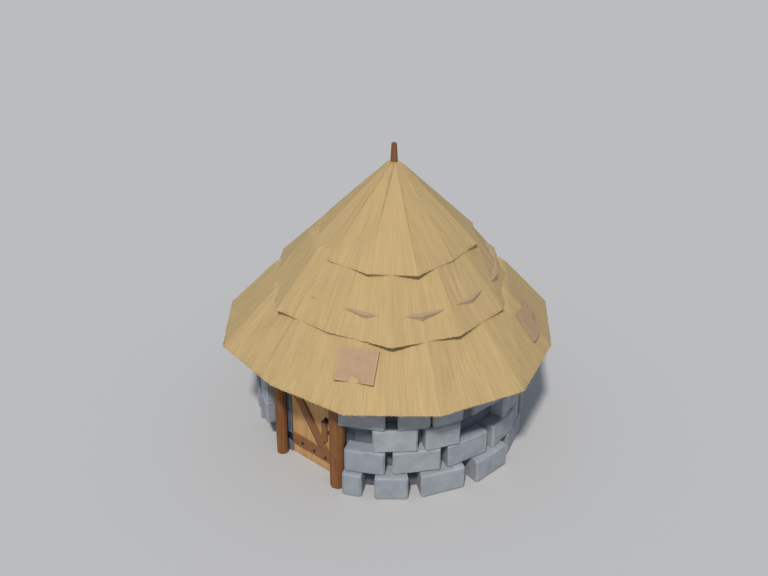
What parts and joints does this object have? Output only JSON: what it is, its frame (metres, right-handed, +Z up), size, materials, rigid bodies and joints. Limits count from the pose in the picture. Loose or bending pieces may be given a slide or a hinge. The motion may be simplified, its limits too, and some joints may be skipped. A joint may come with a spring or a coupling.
{
  "type": "rondavel hut",
  "caption": "Round stone hut with a stepped conical thatch roof, a hinged plank door between log posts and an apex pole.",
  "frame": {"origin": "on the ground at the middle of the hut, which is the middle of the box round it", "axes": "+Z up, doorway facing -Y, +X to the right of someone who faces the door"},
  "size_m": [6.1476, 5.6562, 5.46],
  "materials": {
    "stone": "rough hewn grey stone",
    "post_log": "round log, weathered brown",
    "hewn_timber": "hewn timber",
    "rafter_pole": "peeled pole",
    "batten": "split batten",
    "thatch": "dry thatching grass",
    "hoop": "twisted grass band",
    "patch_mat": "grass repair mat",
    "apex_wood": "peeled pole",
    "door_board": "planed pale board",
    "door_rail": "brown board",
    "iron": "blackened wrought iron"
  },
  "bodies": {
    "hut": {"wall_right_front": "stone", "wall_right": "stone", "wall_back": "stone", "wall_left": "stone", "wall_left_front": "stone", "post_left": "post_log", "post_right": "post_log", "lintel": "hewn_timber", "wall_plate": "hewn_timber", "hinge_low": "iron", "hinge_high": "iron", "rafters": "rafter_pole", "roof_boss": "hewn_timber", "batten_ring_1": "batten", "batten_ring_2": "batten", "batten_ring_3": "batten", "batten_ring_4": "batten", "batten_ring_5": "batten", "thatch_lower": "thatch", "thatch_middle": "thatch", "thatch_top": "thatch", "binding_hoop": "hoop", "patch_front": "patch_mat", "patch_side": "patch_mat", "apex_pole": "apex_wood"},
    "door": {"door_boards": "door_board", "door_rail_low": "door_rail", "door_rail_high": "door_rail", "door_brace": "door_rail", "door_grip": "door_rail", "door_latch": "iron", "door_staple": "iron", "strap_low": "iron", "strap_high": "iron"}
  },
  "joints": [
    {"name": "door_swing", "type": "hinge", "parent": "hut", "child": "door", "pos_m": [-0.495, -2.097, 0.95], "axis": [0, 0, -1], "range_deg": [0, 90]}
  ]
}
